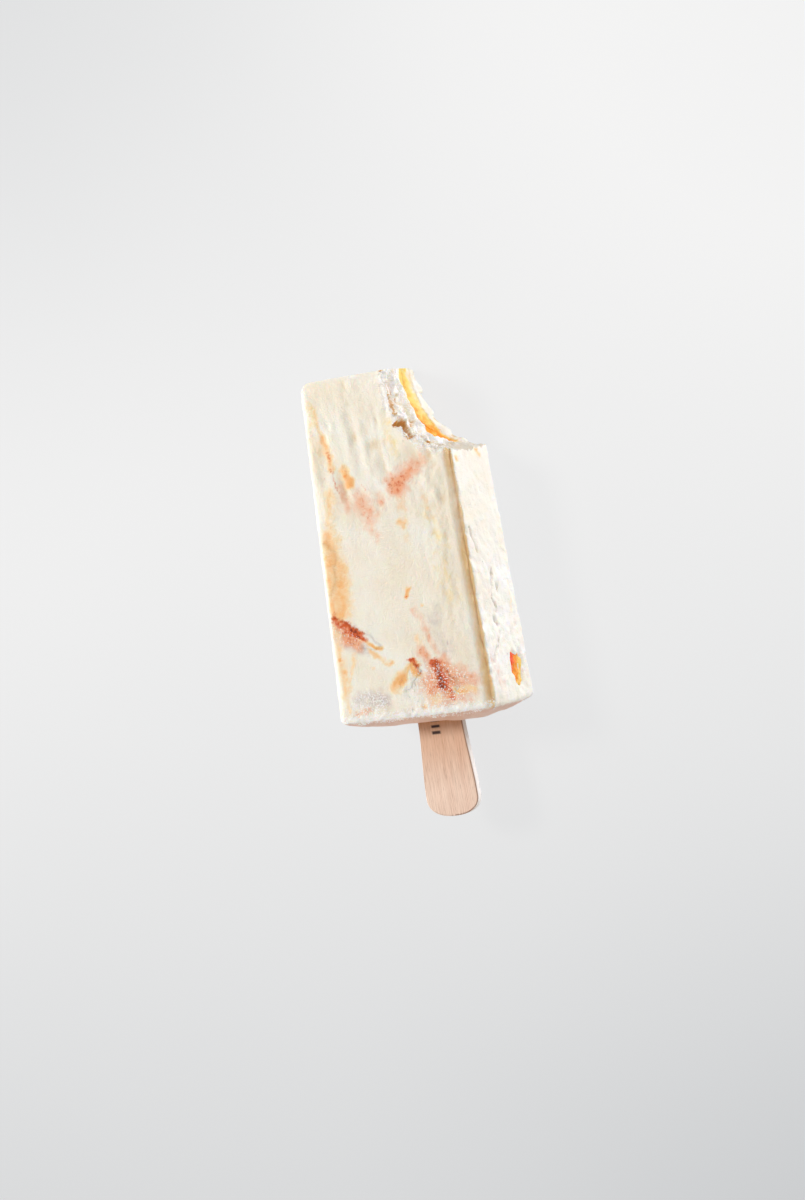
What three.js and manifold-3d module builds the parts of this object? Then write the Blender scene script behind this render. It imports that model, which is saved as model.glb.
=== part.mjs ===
// An ice lolly lying on its back: a creamy frozen block with pieces of peach set in it, one corner
// bitten off, and a flat wooden stick. Sizes are millimetres.
//
// Every piece is shaped in the mould's frame: +X across the block, +Y from the stick end to the tip,
// +Z out of the front face, with the origin at the middle of the stick end. The block tapers so that
// it slides out of its mould, so the finished lolly is tipped by that draft onto its flat back face.

import * as THREE from 'three';
import { mergeVertices } from 'three/addons/utils/BufferGeometryUtils.js';
import Module from 'manifold-3d';

const wasm = await Module();
wasm.setup();

// The frozen block
const blockLength = 98.5;
const stickEndWidth = 52;
const tipWidth = 45.7;
const stickEndThickness = 25.8;
const tipThickness = 22.8;
const edgeRadius = 3.2;
const rimDepth = 1.5; // the stick end turns quickly, where the mix met the mould's open mouth
const bulgeHeight = 3.3; // how far the stick end swelled as it froze
const rippleDepth = 0.25; // soft upright ripples in the front face
const rippleLength = 11;
const swellMiddle = 13; // the stick end's two uneven swells, one on each side of the stick
const swellSpread = 5.6;
const swellDepth = 0.14; // share of the bulge
const edgeLines = [0, 0.1, 0.32, 0.62, 1]; // grid lines across the edge radius, close where it turns
const blockSteps = [9, 16, 3]; // flat steps along X, Y and Z

// The bite that took the corner off the tip: its edge in the front face and in the back face
const biteFront = [[4.8, 106], [5.2, 83], [4.4, 77], [29, 71.6]];
const biteBack = [[2, 106], [2.8, 88], [7.6, 73.6], [29, 72.2]];
const biteHollow = 1.5; // the bite is deepest between the two faces
const toothDepth = 0.7;
const toothWidth = 6.2;
const biteSteps = [16, 1, 12]; // along the bite, out of it, and from back to front
const clearCorner = [45, 120]; // a place in the clear air beyond the bitten corner

// The stick: narrow in the middle, wide and round at both ends
const stickLength = 93;
const stickEndWide = 17.3;
const stickWaist = 14.8;
const stickThickness = 2;
const stickBare = 30.2; // what stands out of the block
const stickEndDepth = 5.6; // how far back each round end begins
const stickEndFullness = 2.35; // 2 is an ellipse, more is squarer
const stickShift = 0.8;
const stickLean = THREE.MathUtils.degToRad(0.5);
const stickBevel = 0.25;
const waistFrom = 0.45; // share of the side, from the stick's middle, that stays narrow
const endSteps = 10;
const sideSteps = 12;

const gap = 0.3; // between neighbouring pieces

// Pieces of peach: centre, half sizes along their own axes, and turns about Z, then Y
const fruits = {
  peach_flesh_edge: { at: [-22.2, 44.5, 11.2], half: [7.2, 14.5, 5.4], turnZ: -9, turnY: -28 },
  peach_skin_edge: { at: [-16.2, 25.6, 12.2], half: [10.6, 2.7, 3.4], turnZ: -33, turnY: -6 },
  peach_wedge_orange: { at: [0.2, 11.6, 12.6], half: [6.4, 2.6, 4.2], turnZ: 38, turnY: 0 },
  peach_wedge_red: { at: [12.2, 9.9, 12.6], half: [5.6, 2.3, 4], turnZ: -58, turnY: 0 },
  peach_chunk_side: { at: [25.4, 9.4, -4.4], half: [3.4, 6.2, 3.6], turnZ: 4, turnY: 0 },
  peach_slice_bite: { at: [1.2, 84.6, -7.3], half: [7.8, 13.4, 2.5], turnZ: -8, turnY: 4 },
};
const fruitTaper = 0.18; // each piece is narrower at its far end
const fruitSegments = [18, 12];

const colours = {
  cream: 0xf2eadb,
  flesh: 0xf5b36b,
  skin: 0xa8431f,
  wood: 0xdcb896,
};

const finishes = {
  ice_block: [colours.cream, 0.45],
  stick: [colours.wood, 0.7],
  peach_flesh_edge: [colours.flesh, 0.4],
  peach_skin_edge: [colours.skin, 0.5],
  peach_wedge_orange: [colours.flesh, 0.4],
  peach_wedge_red: [colours.skin, 0.5],
  peach_chunk_side: [colours.flesh, 0.2],
  peach_slice_bite: [colours.flesh, 0.25],
};

const draft = Math.atan((stickEndThickness - tipThickness) / 2 / blockLength);

function share(value, low, high) {
  return THREE.MathUtils.smoothstep(value, low, high);
}

// A closed geometry as a manifold solid. Only the positions are kept, with shared corners merged.
function solidOf(geometry) {
  geometry.deleteAttribute('normal');
  geometry.deleteAttribute('uv');
  const closed = mergeVertices(geometry, 1e-4);
  const mesh = new wasm.Mesh({
    numProp: 3,
    vertProperties: Float32Array.from(closed.attributes.position.array),
    triVerts: Uint32Array.from(closed.index.array),
  });
  return new wasm.Manifold(mesh);
}

function geometryOf(solid) {
  const mesh = solid.getMesh();
  const geometry = new THREE.BufferGeometry();
  const positions = new THREE.BufferAttribute(new Float32Array(mesh.vertProperties), 3);
  geometry.setAttribute('position', positions);
  geometry.setIndex(new THREE.BufferAttribute(new Uint32Array(mesh.triVerts), 1));
  geometry.computeVertexNormals();
  return geometry;
}

// Moves every vertex of a geometry with a function of its old place.
function shaped(geometry, move) {
  const positions = geometry.attributes.position;
  const point = new THREE.Vector3();
  for (let i = 0; i < positions.count; i += 1) {
    point.fromBufferAttribute(positions, i);
    move(point);
    positions.setXYZ(i, point.x, point.y, point.z);
  }
  return geometry;
}

// Places of the grid lines from -half to half: close together where the edge turns, even between.
function gridLines(half, steps) {
  const turn = edgeLines.map((part) => part * edgeRadius);
  const lines = turn.map((inset) => inset - half);
  const flat = half - edgeRadius;
  for (let i = 1; i < steps; i += 1) {
    lines.push(-flat + (2 * flat * i) / steps);
  }
  turn.reverse().forEach((inset) => lines.push(half - inset));
  return lines;
}

// How far the stick end stands out at a place in it: a low dome with two uneven swells beside the stick.
function bulge(x, z) {
  const acrossX = x / (stickEndWidth / 2);
  const acrossZ = z / (stickEndThickness / 2);
  const dome = (1 - acrossX ** 4) * (1 - acrossZ ** 2);
  const swells = 1 - swellDepth + swellDepth * Math.cos((x - swellMiddle) / swellSpread);
  return bulgeHeight * Math.max(dome, 0) * swells;
}

// Soft ripples in the front face, strongest towards the tip and gone at the edges.
function ripple(x, y) {
  const bent = x + 2.5 * Math.sin(y / 14);
  const strength = share(y, 30, 75) * share(blockLength - y, 2, 12) * (1 - share(Math.abs(x), 15, 20));
  return rippleDepth * strength * Math.sin((2 * Math.PI * bent) / rippleLength);
}

// The whole block before the bite: a box with round edges, tapered, swollen at the stick end.
function makeWholeBlock() {
  const size = new THREE.Vector3(stickEndWidth, blockLength, stickEndThickness);
  const lines = size.toArray().map((side, axis) => gridLines(side / 2, blockSteps[axis]));
  const steps = lines.map((list) => list.length - 1);
  const box = new THREE.BoxGeometry(1, 1, 1, ...steps);
  const inner = size.clone().multiplyScalar(0.5).subScalar(edgeRadius);
  const rimShift = edgeRadius - rimDepth;
  return shaped(box, (point) => {
    point.fromArray(point.toArray().map((c, axis) => lines[axis][Math.round((c + 0.5) * steps[axis])]));
    const core = point.clone().clamp(inner.clone().negate(), inner);
    const outward = point.clone().sub(core);
    point.copy(core).addScaledVector(outward.normalize(), edgeRadius);
    const toStickEnd = share(-point.y, -inner.y, inner.y);
    const intoRim = Math.max(-point.y - inner.y, 0);
    point.y += (intoRim / edgeRadius - toStickEnd) * rimShift;
    const along = THREE.MathUtils.clamp(point.y / blockLength + 0.5, 0, 1);
    point.y += blockLength / 2;
    const atFront = share(point.z, inner.z, size.z / 2);
    const atStickEnd = 1 - share(point.y, 0, edgeRadius);
    point.z += atFront * ripple(point.x, point.y);
    point.y -= atStickEnd * bulge(point.x, point.z);
    point.x *= THREE.MathUtils.lerp(1, tipWidth / stickEndWidth, along);
    point.z *= THREE.MathUtils.lerp(1, tipThickness / stickEndThickness, along);
  });
}

// How much deeper than its two edges the bite is, at a share of the way from the front to the back:
// one hollow, with the furrows that the teeth left in its front half.
function biteDepth(along, across) {
  const hollow = biteHollow * Math.sin(Math.PI * across);
  const inFront = 1 - share(across, 0.5, 0.75);
  const wander = 0.25 * Math.sin(7 * along);
  const furrow = Math.abs(Math.sin(Math.PI * (across * (stickEndThickness / toothWidth) + wander)));
  return hollow + toothDepth * inFront * (furrow - 0.5);
}

// The body taken by the bite. Its inner face follows the bite's two edges, its outer face is clear air.
function makeBite() {
  const [frontEdge, backEdge] = [biteFront, biteBack].map(
    (points) => new THREE.CubicBezierCurve(...points.map((p) => new THREE.Vector2(...p))),
  );
  const clearAir = new THREE.Vector2(...clearCorner);
  const reach = stickEndThickness / 2 + 3;
  return shaped(new THREE.BoxGeometry(1, 1, 1, ...biteSteps), (point) => {
    const along = point.x + 0.5;
    const across = THREE.MathUtils.clamp((0.5 - point.z) * 1.2 - 0.1, 0, 1);
    const front = frontEdge.getPoint(along);
    const back = backEdge.getPoint(along);
    const edge = front.clone().lerp(back, across);
    const inward = frontEdge.getTangent(along).rotateAround(new THREE.Vector2(), -Math.PI / 2);
    const inner = edge.clone().addScaledVector(inward, biteDepth(along, across));
    const outer = clearAir.clone().addScaledVector(frontEdge.getPoint(along).sub(clearAir), 0.15);
    const place = point.y < 0 ? inner : outer;
    point.set(place.x, place.y, point.z * 2 * reach);
  });
}

// A piece of peach, or the room for it when grow is more than 0: an egg turned into its place.
function makeFruit({ at, half, turnZ, turnY }, grow) {
  const egg = new THREE.SphereGeometry(1, ...fruitSegments);
  shaped(egg, (point) => {
    const thin = 1 - fruitTaper * point.y;
    point.multiply(new THREE.Vector3(thin, 1, thin));
    point.multiply(new THREE.Vector3(...half).addScalar(grow));
  });
  egg.rotateZ(THREE.MathUtils.degToRad(turnZ));
  egg.rotateY(THREE.MathUtils.degToRad(turnY));
  egg.translate(...at);
  return solidOf(egg);
}

// Half the stick's outline, wider by grow on every side, as points from the grip end to the buried end:
// a full curve at each end, and sides that draw in to a long narrow middle.
function stickSide(grow) {
  const half = stickLength / 2 + grow;
  const sideHalf = half - stickEndDepth;
  const wide = stickEndWide / 2 + grow;
  const drawnIn = (stickEndWide - stickWaist) / 2;
  const round = (value) => value ** (2 / stickEndFullness);
  const end = [];
  for (let i = 0; i <= endSteps; i += 1) {
    const turn = (Math.PI / 2) * (i / endSteps);
    end.push([wide * round(Math.cos(turn)), sideHalf + stickEndDepth * round(Math.sin(turn))]);
  }
  end[endSteps][0] = 0;
  const side = [];
  for (let i = 1; i < sideSteps; i += 1) {
    const y = sideHalf * ((2 * i) / sideSteps - 1);
    side.push([wide - drawnIn * (1 - share(Math.abs(y), waistFrom * sideHalf, sideHalf)), y]);
  }
  const grip = end.map(([x, y]) => [x, -y]).reverse();
  return [...grip, ...side, ...end].map(([x, y]) => new THREE.Vector2(x, y));
}

// The stick, or the slot for it when grow is more than 0.
function makeStick(grow) {
  const right = stickSide(grow);
  const left = right.slice(1, -1).reverse().map((point) => new THREE.Vector2(-point.x, point.y));
  const depth = stickThickness + 2 * grow;
  const geometry = new THREE.ExtrudeGeometry(new THREE.Shape([...right, ...left]), {
    depth: depth - 2 * stickBevel,
    bevelThickness: stickBevel,
    bevelSize: stickBevel,
    bevelOffset: -stickBevel,
    bevelSegments: 1,
  });
  geometry.translate(0, stickLength / 2 - stickBare, stickBevel - depth / 2);
  geometry.rotateZ(stickLean);
  geometry.translate(stickShift, 0, 0);
  return solidOf(geometry);
}

// Joins and cuts. Each piece of peach takes its room, with the gap round it, out of all that is there.
const bitten = solidOf(makeWholeBlock()).subtract(solidOf(makeBite()));
const solids = { ice_block: bitten.subtract(makeStick(gap)), stick: makeStick(0) };
for (const [name, fruit] of Object.entries(fruits)) {
  const room = makeFruit(fruit, gap);
  for (const other of Object.keys(solids)) {
    solids[other] = solids[other].subtract(room);
  }
  solids[name] = makeFruit(fruit, 0).intersect(bitten);
}

const lolly = new THREE.Group();
for (const [name, solid] of Object.entries(solids)) {
  const [color, roughness] = finishes[name];
  const material = new THREE.MeshStandardMaterial({ color, roughness, metalness: 0 });
  const mesh = new THREE.Mesh(geometryOf(solid), material);
  mesh.name = name;
  lolly.add(mesh);
}

// Laid on its back face, centred over the origin
lolly.rotation.x = -draft;
const iceLolly = new THREE.Group();
iceLolly.add(lolly);
const box = new THREE.Box3().setFromObject(iceLolly, true);
const middle = box.getCenter(new THREE.Vector3());
lolly.position.set(-middle.x, -middle.y, -box.min.z);

export default iceLolly;
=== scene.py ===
import math
from functools import partial
from itertools import combinations, product
import bpy
import numpy as np
from mathutils import Matrix, Vector
from mathutils.bvhtree import BVHTree


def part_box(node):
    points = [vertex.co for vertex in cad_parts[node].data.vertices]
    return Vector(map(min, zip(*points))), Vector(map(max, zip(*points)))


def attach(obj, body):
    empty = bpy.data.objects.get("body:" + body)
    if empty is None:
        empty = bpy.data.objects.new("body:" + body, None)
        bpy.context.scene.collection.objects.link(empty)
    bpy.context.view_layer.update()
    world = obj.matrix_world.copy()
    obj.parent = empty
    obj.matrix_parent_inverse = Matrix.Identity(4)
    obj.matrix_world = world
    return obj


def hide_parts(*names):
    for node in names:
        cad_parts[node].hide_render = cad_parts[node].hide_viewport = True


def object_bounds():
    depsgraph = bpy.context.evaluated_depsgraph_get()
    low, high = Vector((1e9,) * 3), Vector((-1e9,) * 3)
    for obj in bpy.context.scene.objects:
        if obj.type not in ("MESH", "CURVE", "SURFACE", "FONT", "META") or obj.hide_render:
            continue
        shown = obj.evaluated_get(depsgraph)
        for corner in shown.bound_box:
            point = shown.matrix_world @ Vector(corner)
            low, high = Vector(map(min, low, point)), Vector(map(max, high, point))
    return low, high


# Ice lolly lying on its back: frozen cream with pieces of peach, one corner bitten off, birch stick.
# Shapes are worked out in the mould's own millimetres: x across, y from the stick end to the tip, z
# out of the front face, zero at the middle of the stick end. layDown() carries them to the frame.
# Numbers that end a noise call are its seed.

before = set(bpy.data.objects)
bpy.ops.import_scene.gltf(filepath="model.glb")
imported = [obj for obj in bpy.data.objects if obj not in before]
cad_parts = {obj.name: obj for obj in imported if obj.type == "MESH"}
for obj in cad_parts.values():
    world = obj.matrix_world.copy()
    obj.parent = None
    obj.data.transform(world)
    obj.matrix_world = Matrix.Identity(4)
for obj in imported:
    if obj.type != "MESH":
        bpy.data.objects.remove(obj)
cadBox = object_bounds()
scene = bpy.context.scene

# the mould, mm: its open end is where the stick is
mould = {
    "length": 98.5,
    "endWidth": 52.0,
    "tipWidth": 45.7,
    "endThickness": 25.8,
    "tipThickness": 22.8,
    "edgeRadius": 3.2,
    "rimDepth": 1.5,  # the stick end turns quickly
    "bulge": 3.3,  # how far the stick end swelled
    "waveShare": 0.14,  # share of that which comes and goes across the end
    "waveMiddle": 13,
    "waveReach": 5.6,
}
draft = math.atan((mould["endThickness"] - mould["tipThickness"]) / 2 / mould["length"])

# the stick, mm
slat = {
    "length": 93.0,
    "endWidth": 17.3,
    "waist": 14.8,
    "thickness": 2.0,
    "bare": 30.2,  # what stands out of the block
    "endDepth": 5.6,
    "endFullness": 2.35,
    "aside": 0.8,
    "lean": math.radians(0.5),
    "edge": 0.3,
    "cadEdge": 0.25,  # the solid's own bevel
}

# the stick's grip end and the mould's back face say where the mould's zero lies in the frame
stickLow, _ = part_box("stick")
endHalf = slat["thickness"] / 2 - slat["cadEdge"]
zeroY = stickLow.y * 1000 + slat["bare"] * math.cos(draft) + endHalf * math.sin(draft)
zeroZ = mould["endThickness"] / 2 * math.cos(draft)
toFrame = Matrix.Translation((0, zeroY, zeroZ)) @ Matrix.Rotation(-draft, 4, "X")


def layDown(points):
    turn = np.array(toFrame.to_3x3())
    return (points @ turn.T + np.array(toFrame.translation)) / 1000


def ramp(value, low, high):
    part = np.clip((value - low) / (high - low), 0, 1)
    return part * part * (3 - 2 * part)


def bump(value, low, peak, high):
    return band(value, low, peak, peak, high)


def band(value, low, full, still, high):
    # 0 below low, 1 from full to still, 0 above high
    return ramp(value, low, full) * (1 - ramp(value, still, high))


noiseCells = 32
seedStep = 7.31  # cells from one seed's part of the grid to the next
noiseGrid = np.random.default_rng(41).random((noiseCells,) * 3) * 2 - 1


def swell(points, size, seed):
    # smooth random swell from -1 to 1, one lump about every size mm
    place = points / np.array(size) + seedStep * seed
    cell = np.floor(place).astype(int)
    part = place - cell
    part = part * part * (3 - 2 * part)
    total = 0
    for corner in product((0, 1), repeat=3):
        spot = (cell + corner) % noiseCells
        weight = np.where(np.array(corner) == 1, part, 1 - part).prod(axis=1)
        total = total + noiseGrid[spot[:, 0], spot[:, 1], spot[:, 2]] * weight
    return total


def lumps(points, size, seed):
    # two thirds lumps of that size, one third finer ones turned aside
    tilted = points @ np.array([[0.8, 0.6, 0], [-0.6, 0.8, 0], [0, 0, 1]])
    finer = swell(tilted, np.array(size) / 2.1, seed + 1)
    return 0.67 * swell(points, size, seed) + 0.33 * finer


def fromHex(text):
    # sRGB hex to linear
    parts = [int(text[i:i + 2], 16) / 255 for i in (0, 2, 4)]
    return tuple(c / 12.92 if c <= 0.04045 else ((c + 0.055) / 1.055) ** 2.4 for c in parts) + (1,)


def addNode(tree, kind, links=None, **settings):
    made = tree.nodes.new("ShaderNode" + kind)
    for name, value in settings.items():
        setattr(made, name, value)
    for socket, value in (links or {}).items():
        if isinstance(value, bpy.types.Node):
            value = value.outputs[0]
        if isinstance(value, bpy.types.NodeSocket):
            tree.links.new(value, made.inputs[socket])
        else:
            made.inputs[socket].default_value = value
    return made


def newMaterial(name):
    material = bpy.data.materials.new(name)
    material.use_nodes = True
    material.node_tree.nodes.clear()
    return material, partial(addNode, material.node_tree)


def pattern(add, millimetres, detail=2.0, stretch=1, low=0.27, high=0.73):
    # noise with lumps of that size, drawn out along the lolly, spread to run from 0 to 1
    coords = add("TexCoord").outputs["Object"]
    placed = add("Mapping", {"Vector": coords, "Scale": (1, 1 / stretch, 1)})
    noise = add("TexNoise", {"Vector": placed, "Scale": 1000 / millimetres, "Detail": detail})
    return add("MapRange", {"Value": noise, "From Min": low, "From Max": high})


def coat(add, share, below, tint, strength=1.0):
    share = add("Math", {0: share, 1: strength}, operation="MULTIPLY")
    return add("Mix", {0: share, 6: below, 7: fromHex(tint)}, data_type="RGBA").outputs[2]


def meshFrom(name, points, faces):
    mesh = bpy.data.meshes.new(name)
    mesh.from_pydata(points.tolist(), [], faces.tolist() if isinstance(faces, np.ndarray) else faces)
    mesh.validate()
    return mesh


def pointsOf(mesh):
    flat = np.empty(len(mesh.vertices) * 3)
    mesh.vertices.foreach_get("co", flat)
    return flat.reshape(-1, 3)


def normalsOf(mesh):
    flat = np.empty(len(mesh.vertices) * 3)
    mesh.vertices.foreach_get("normal", flat)
    return flat.reshape(-1, 3)


sharpAngle = math.radians(52)  # steeper folds than this shade as edges


def addPiece(name, mesh, material, replaced):
    # mesh is in mould millimetres until here
    points = layDown(pointsOf(mesh))
    mesh.vertices.foreach_set("co", points.ravel())
    mesh.shade_smooth()
    mesh.set_sharp_from_angle(angle=sharpAngle)
    mesh.materials.clear()
    mesh.materials.append(material)
    mesh.update()
    piece = bpy.data.objects.new(name, mesh)
    scene.collection.objects.link(piece)
    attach(piece, "root")
    if replaced:
        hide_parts(replaced)
    print(name, len(mesh.polygons), "faces")


# Camera: looks down on the lolly's front from its right, rolled so that the tip leans left
view = {
    "yaw": 30.984,
    "pitch": 1.902,
    "roll": 8.869,
    "distance": 896.7,  # mm
    "lens": 94.26,
    "sensor": 36,
    "clipEnd": 20,  # m
    "slide": (2.405, 16.791),  # the block's middle sits off the picture's middle
}


def makeCamera():
    camera = bpy.data.objects.new("camera", bpy.data.cameras.new("camera"))
    scene.collection.objects.link(camera)
    roll = Matrix.Rotation(math.radians(view["roll"]), 3, "Z")
    pitch = Matrix.Rotation(math.radians(view["pitch"]), 3, "X")
    yaw = Matrix.Rotation(math.radians(-view["yaw"]), 3, "Y")
    turn = (roll @ pitch @ yaw).transposed()
    place = turn @ Vector((-view["slide"][0], -view["slide"][1], view["distance"]))
    place += Vector((0, mould["length"] / 2, 0))
    pose = toFrame @ (Matrix.Translation(place) @ turn.to_4x4())
    pose.translation /= 1000
    camera.matrix_world = pose
    camera.data.lens = view["lens"]
    camera.data.sensor_width = view["sensor"]
    camera.data.clip_end = view["clipEnd"]
    scene.camera = camera


makeCamera()
print("camera set")


def stations(half, turnSteps, flatSteps, turn):
    # places along one side of the box, closer together where its edges turn
    edge = half - turn
    low = -half + turn * (1 - np.cos(np.linspace(0, 1, turnSteps, endpoint=False) * np.pi / 2))
    flat = np.linspace(-edge, edge, flatSteps + 1)
    return np.concatenate([low, flat, -low[::-1]])


def latticeSkin(lines):
    # closed skin of a box from its stations along x, y and z
    count = [len(line) for line in lines]
    grid = np.stack(np.meshgrid(*lines, indexing="ij"), -1)
    outside = np.ones(count, bool)
    outside[1:-1, 1:-1, 1:-1] = False
    index = np.full(count, -1)
    index[outside] = np.arange(outside.sum())
    quads = []
    for axis, side in product(range(3), (0, -1)):
        sheet = np.take(index, side, axis=axis)
        loop = [sheet[:-1, :-1], sheet[1:, :-1], sheet[1:, 1:], sheet[:-1, 1:]]
        quad = np.stack(loop, -1).reshape(-1, 4)
        facesOut = (side == -1) != (axis == 1)
        quads.append(quad if facesOut else quad[:, ::-1])
    return grid[outside], np.concatenate(quads)


boxHalf = np.array([mould["endWidth"], mould["length"], mould["endThickness"]]) / 2
innerHalf = boxHalf - mould["edgeRadius"]


def bulgeAt(x, z):
    dome = (1 - (x / boxHalf[0]) ** 4) * (1 - (z / boxHalf[2]) ** 2)
    wave = mould["waveShare"] * (1 - np.cos((x - mould["waveMiddle"]) / mould["waveReach"]))
    return mould["bulge"] * np.maximum(dome, 0) * (1 - wave)


def taperAt(y):
    along = np.clip(y / mould["length"], 0, 1)
    wide = 1 + along * (mould["tipWidth"] / mould["endWidth"] - 1)
    thick = 1 + along * (mould["tipThickness"] / mould["endThickness"] - 1)
    return wide, thick


def castBlock(points):
    # box skin to the cast block: round edges, quick rim at the stick end, swell, taper
    radius = mould["edgeRadius"]
    core = np.clip(points, -innerHalf, innerHalf)
    normal = points - core
    normal /= np.linalg.norm(normal, axis=1, keepdims=True)
    cast = core + normal * radius
    toStickEnd = ramp(-cast[:, 1], -innerHalf[1], innerHalf[1])
    intoRim = np.maximum(-cast[:, 1] - innerHalf[1], 0)
    cast[:, 1] += (intoRim / radius - toStickEnd) * (radius - mould["rimDepth"])
    wide, thick = taperAt(cast[:, 1] + boxHalf[1])
    cast[:, 1] += boxHalf[1]
    cast[:, 1] -= (1 - ramp(cast[:, 1], 0, radius)) * bulgeAt(cast[:, 0], cast[:, 2])
    cast[:, 0] *= wide
    cast[:, 2] *= thick
    return cast, normal


# heights and depths of what stands on the cast faces, mm
relief = {
    "ridge": 0.34,  # short soft ridges where the mix slid down the mould
    "slant": 0.18,  # how far the ridges lean, not a height
    "lump": 0.18,
    "grain": 0.05,
    "wrinkle": 0.6,
    "groove": 0.35,  # along the front right edge
    "crease": 0.5,  # the side face's rough lip beside the groove
    "rimLump": 0.4,  # thick frost along the stick end
    "frostGrain": 0.24,
    "sideRough": 0.32,
    "sideEven": 0.12,  # faint unevenness of the left face
    "plain": 0.14,  # and of what is neither front nor back
    "endLump": 0.4,
    "crack": 1.0,
    "dent": 0.3,  # in the back, which lies on the floor
    "crumb": 0.75,  # torn cream that hangs over beside the bite
}

# thin cracks in the right face: (depth from the middle plane, y), mm
sideCracks = {
    "long": [(-0.5, 38), (-2, 34), (-3, 30), (-1.6, 26)],
    "beside": [(0.4, 34), (1, 31)],
    "lower": [(-4, 25), (-2, 22.5)],
    "forked": [(-2, 20), (-4, 17), (-7.5, 13)],
    "upper": [(-8.5, 51), (-8, 48), (-6.5, 44)],
}
# where the chunk shows in the right face, in the same terms: its upper end is wider and forked
chunkPocket = {
    "middle": (4.3, 9.3),
    "half": (3.3, 6.0),
    "depth": 0.6,
    "splay": 0.34,
    "fork": 0.62,
}


def distanceToPath(flat, path):
    path = [np.array(point, float) for point in path]
    if len(path) == 1:
        return np.linalg.norm(flat - path[0], axis=1)
    best = np.full(len(flat), 1e9)
    for start, end in zip(path, path[1:]):
        step = end - start
        part = np.clip(((flat - start) @ step) / (step @ step), 0, 1)
        best = np.minimum(best, np.linalg.norm(flat - start - part[:, None] * step, axis=1))
    return best


def sidePlace(points):
    # the right face seen flat: depth behind the middle plane, and height
    bent = points + 0.5 * np.stack([swell(points, 1.6, s) for s in (3, 4, 5)], 1)
    return np.stack([-bent[:, 2], bent[:, 1]], 1)


def chunkReach(points):
    # 1 at the outline of the chunk in the right face, less inside it
    flat = sidePlace(points)
    away = (flat - np.array(chunkPocket["middle"])) / np.array(chunkPocket["half"])
    away[:, 0] /= 1 + chunkPocket["splay"] * np.clip(away[:, 1], -1, 1)
    fork = (1 - ramp(np.abs(away[:, 0] - 0.1), 0, 0.45)) * ramp(away[:, 1], 0.3, 1)
    return np.linalg.norm(away, axis=1) + chunkPocket["fork"] * fork


def chunkRoom(points):
    return (1 - ramp(chunkReach(points), 0.85, 1.1)) * ramp(points[:, 0], 20, 23)


def turnAt(points):
    # degrees round the front right edge: 0 where the front ends, 90 where the right face begins
    wide, thick = taperAt(points[:, 1])
    right = points[:, 0] / wide - innerHalf[0]
    forward = points[:, 2] / thick - innerHalf[2]
    return np.degrees(np.arctan2(right, np.maximum(forward, 0.01)))


def frontHeight(points):
    # the front face's ridges, lumps and wrinkles alone
    x, y, z = points.T
    bent = points + np.stack([1.6 * swell(points, 13, 5), 0 * x, 0 * x], 1)
    slanted = bent + np.stack([relief["slant"] * y, 0 * x, 0 * x], 1)
    height = relief["lump"] * (0.35 + 0.65 * ramp(y, 50, 75)) * lumps(points, (4.5, 6.5, 6), 2)
    strength = 0.15 + 0.85 * ramp(y, 48, 70)
    strength *= (1 - 0.5 * ramp(x, -4, 6)) * (1 - 0.5 * ramp(y, 84, 92))
    strength *= 0.3 + 0.9 * ramp(swell(points, (5, 8, 6), 37), -0.35, 0.4)
    height += relief["ridge"] * strength * swell(slanted, (2.6, 5.4, 6), 6)
    height += 0.45 * relief["ridge"] * strength * swell(slanted, (1.3, 3.6, 6), 8)
    patch = bump(x, 5, 18, 23.5) * (0.45 + 0.55 * bump(y, 40, 60, 78)) * ramp(y, 12, 26)
    return height + relief["wrinkle"] * patch * lumps(slanted, (1.7, 5.5, 3), 9)


def reliefAt(points, normal):
    x, y, z = points.T
    front = ramp(normal[:, 2], 0.55, 0.95)
    back = ramp(-normal[:, 2], 0.3, 0.9)
    right = ramp(normal[:, 0], 0.6, 0.95)
    left = ramp(-normal[:, 0], 0.6, 0.95)
    end = ramp(-normal[:, 1], 0.6, 0.95)
    height = front * frontHeight(points) + relief["plain"] * (1 - front) * lumps(points, 5.5, 2)
    height += relief["grain"] * swell(points, 0.9, 3)
    turn = turnAt(points)
    edge = ramp(y, 0.5, 4) * (z > 0)
    uneven = 1 + 0.35 * swell(points, (5, 7, 5), 10)
    height -= relief["groove"] * edge * bump(turn, 5, 50, 60) * uneven
    lip = 0.6 + 0.9 * swell(points, (3, 1.8, 3), 11)
    height += relief["crease"] * edge * bump(turn, 56, 63, 89) * lip
    rough = lumps(points, (2.2, 3.4, 1.5), 12) + 0.5 * swell(points, (1, 1.3, 0.9), 18)
    coarse = 0.75 + 0.6 * (1 - ramp(y, 36, 52))
    height += relief["sideRough"] * coarse * right * rough
    height += relief["sideEven"] * left * lumps(points, 2.2, 13)
    for path in sideCracks.values():
        away = distanceToPath(sidePlace(points), path)
        height -= relief["crack"] * right * (1 - ramp(away, 0.1, 0.6))
    height -= chunkPocket["depth"] * chunkRoom(points) * right
    rim = (1 - ramp(y, 0.6, 3.4)) * front
    height += relief["rimLump"] * rim * (0.3 + 0.7 * swell(points, (1.5, 1.1, 1.5), 14))
    height += relief["frostGrain"] * frostAt(points) * front * swell(points, 0.8, 15)
    height += relief["endLump"] * end * lumps(points, 5, 16)
    crumbs = crumbsAt(points) * ramp(normal[:, 2], 0.3, 0.7)
    height += relief["crumb"] * crumbs * (0.25 + 0.75 * lumps(points, 1.7, 19))
    height = np.where(normal[:, 2] < 0, height * (1 - back), height)
    return height - back * relief["dent"] * np.maximum(lumps(points, 9, 17), 0)


def crumbsAt(points):
    # 1 on the front face beside the bite, where torn cream hangs over
    near = np.zeros(len(points))
    close = points[:, 1] > bite["lowest"]
    near[close] = 1 - ramp(distanceToPath(points[close, :2], biteRim), 0.5, 2.6)
    return near


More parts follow.
